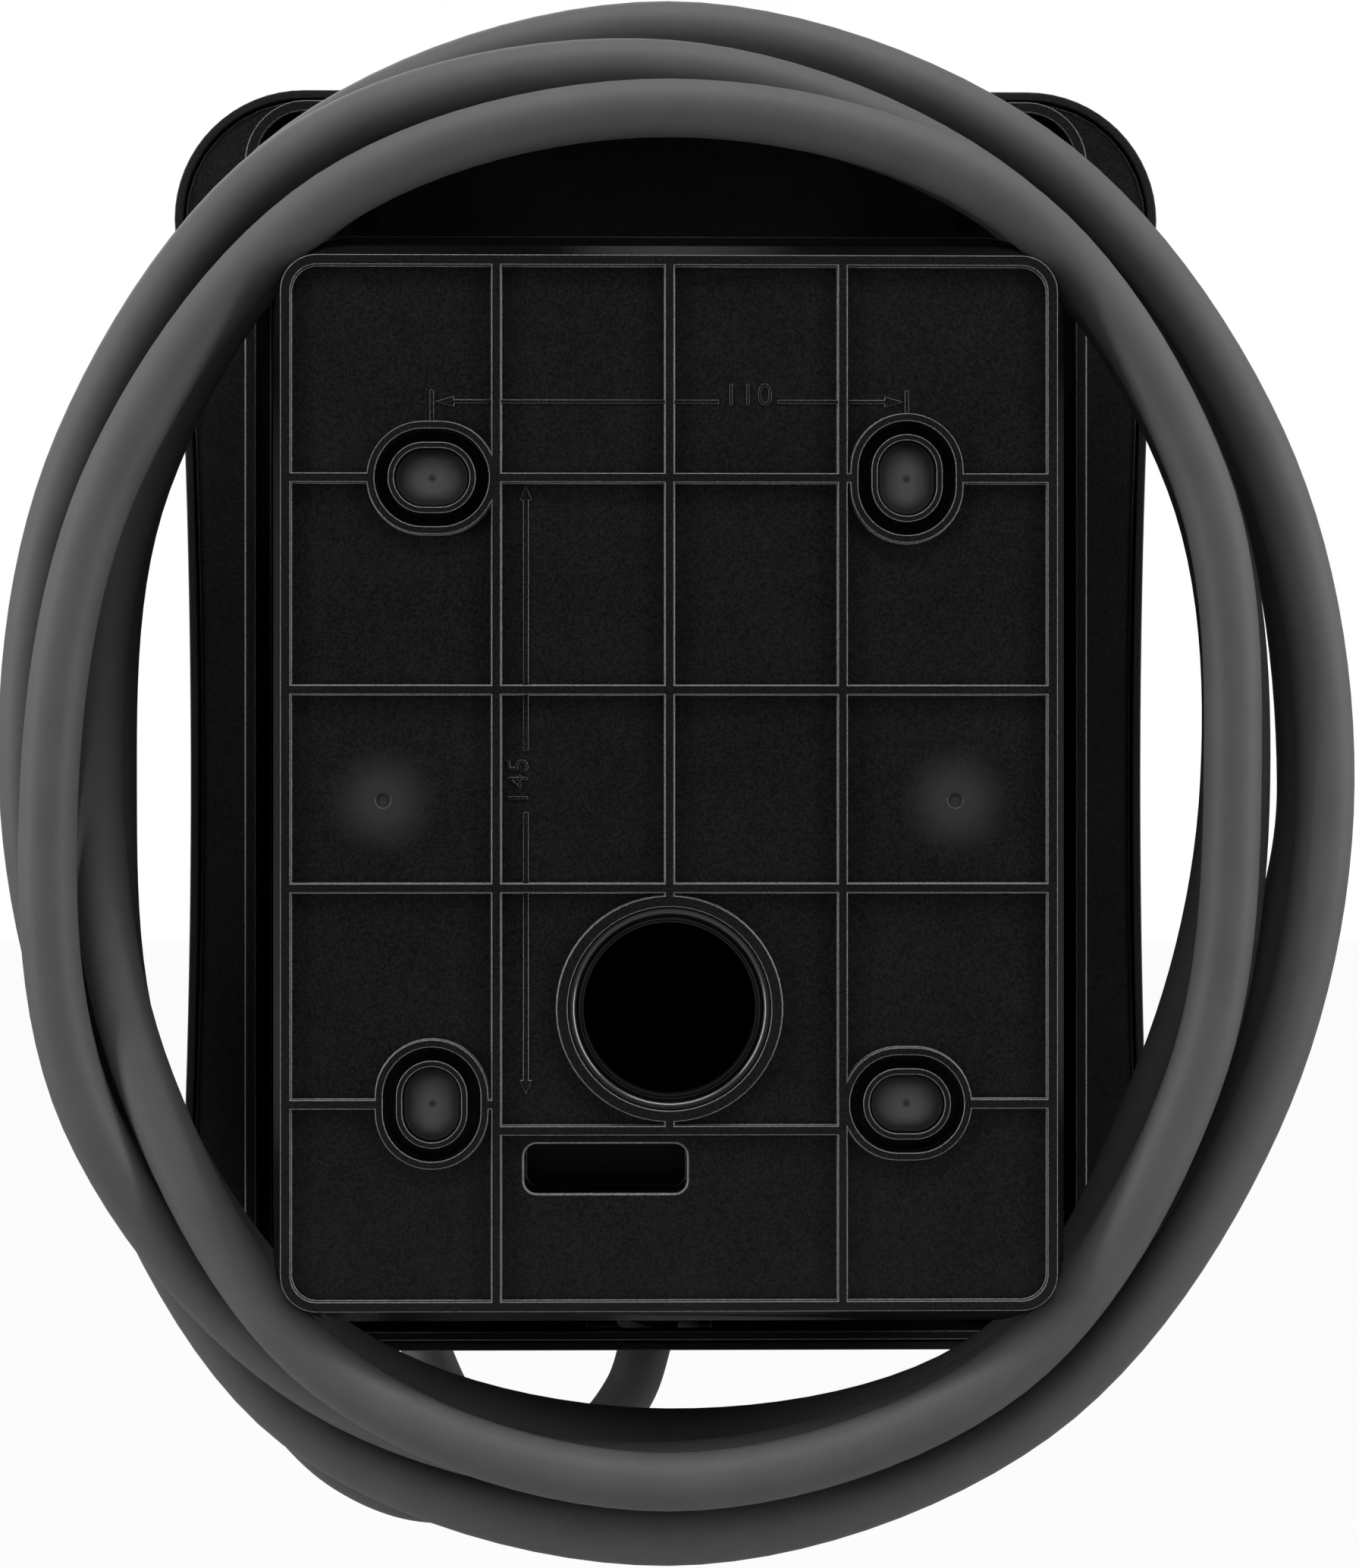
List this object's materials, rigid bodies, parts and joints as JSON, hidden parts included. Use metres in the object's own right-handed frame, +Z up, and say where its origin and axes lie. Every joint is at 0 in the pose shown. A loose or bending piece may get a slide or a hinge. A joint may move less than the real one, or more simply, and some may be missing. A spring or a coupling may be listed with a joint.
{
  "type": "wall charging unit with wound cable",
  "caption": "Wall unit that feeds a charging cable, wound round the rear housing behind its frame, with the connector parked in a cup on the front.",
  "frame": {"origin": "on the wall, midway between the four wall screws", "axes": "+Z up, -Y out of the wall towards the user, +X to the right seen from the front"},
  "size_m": [0.3199, 0.182, 0.389],
  "materials": {
    "housing_plastic": "black moulded plastic, fine satin texture",
    "frame_plastic": "black moulded plastic, satin",
    "cover_plastic": "black moulded plastic, finely textured",
    "grommet_rubber": "dark grey soft rubber, dusty",
    "entry_rubber": "black soft rubber",
    "seal_foam": "black sealing foam",
    "cable_rubber": "black cable sheath, satin",
    "gland_plastic": "black nylon",
    "nickel_nut": "nickel plate",
    "oxide_screw": "black oxide",
    "zinc_screw": "zinc plate",
    "rail_steel": "zinc passivated",
    "lens_clear": "milky light guide",
    "led_pale": "pale lamp body",
    "board_black": "black solder mask",
    "component_dark": "moulded black",
    "button_red": "red, satin gloss",
    "switch_blue": "blue moulded plastic",
    "plunger_white": "off-white nylon",
    "contactor_grey": "light grey moulded plastic",
    "armature_grey": "dark grey moulded plastic",
    "shield_steel": "tinned shield",
    "earth_brass": "bright brass",
    "wire_brown": "brown insulation",
    "wire_black": "black insulation",
    "wire_grey": "grey insulation",
    "boot_rubber": "black soft rubber",
    "grip_plastic": "black, finely textured",
    "nose_plastic": "black, satin",
    "cup_plastic": "black moulded plastic, satin"
  },
  "bodies": {
    "root": {"rear_housing": "housing_plastic", "mount_grommets": "grommet_rubber", "rear_entry_grommet": "entry_rubber", "housing_gasket": "seal_foam", "mid_frame": "frame_plastic", "frame_screws": "oxide_screw", "front_cover": "cover_plastic", "cover_screws": "oxide_screw", "status_lens": "lens_clear", "front_board": "board_black", "front_board_screws": "zinc_screw", "status_leds": "led_pale", "stop_switch": "component_dark", "tamper_switch": "switch_blue", "mounting_rail": "rail_steel", "rail_screws": "zinc_screw", "contactor": "contactor_grey", "power_supply": "plunger_white", "board_standoffs": "plunger_white", "main_board": "board_black", "board_screws": "zinc_screw", "board_components": "component_dark", "leakage_sensor": "switch_blue", "radio_module": "shield_steel", "supply_terminals": "contactor_grey", "terminal_screws": "zinc_screw", "earth_stud": "earth_brass", "earth_nut": "earth_brass", "supply_wires": "wire_brown", "outgoing_wires": "wire_black", "signal_lead": "wire_grey", "gland_body": "gland_plastic", "gland_locknut": "nickel_nut", "gland_seal": "seal_foam", "gland_nut": "gland_plastic", "cable_tail": "cable_rubber", "cable_lead_in": "cable_rubber", "cable_coil": "cable_rubber", "cable_lead_out": "cable_rubber", "connector_boot": "boot_rubber", "connector_grip_left": "grip_plastic", "connector_grip_right": "grip_plastic", "connector_screws": "zinc_screw", "connector_collar": "nose_plastic", "connector_nose": "nose_plastic", "connector_contacts": "earth_brass", "dock_cup": "cup_plastic", "dock_seal": "seal_foam", "dock_screws": "zinc_screw"},
    "stop_button": {"stop_button": "button_red"},
    "armature": {"contactor_armature": "armature_grey"},
    "tamper_plunger": {"tamper_plunger": "plunger_white"}
  },
  "joints": [
    {"name": "stop_press", "type": "slide", "parent": "root", "child": "stop_button", "axis": [0, 1, 0], "range_m": [0, 0.002], "stiffness_N_per_m": 400, "springref_m": -0.001},
    {"name": "armature_pull", "type": "slide", "parent": "root", "child": "armature", "axis": [0, 1, 0], "range_m": [0, 0.003], "stiffness_N_per_m": 500, "springref_m": -0.001},
    {"name": "tamper_press", "type": "slide", "parent": "root", "child": "tamper_plunger", "axis": [0, 1, 0], "range_m": [0, 0.001], "stiffness_N_per_m": 300, "springref_m": -0.001}
  ]
}
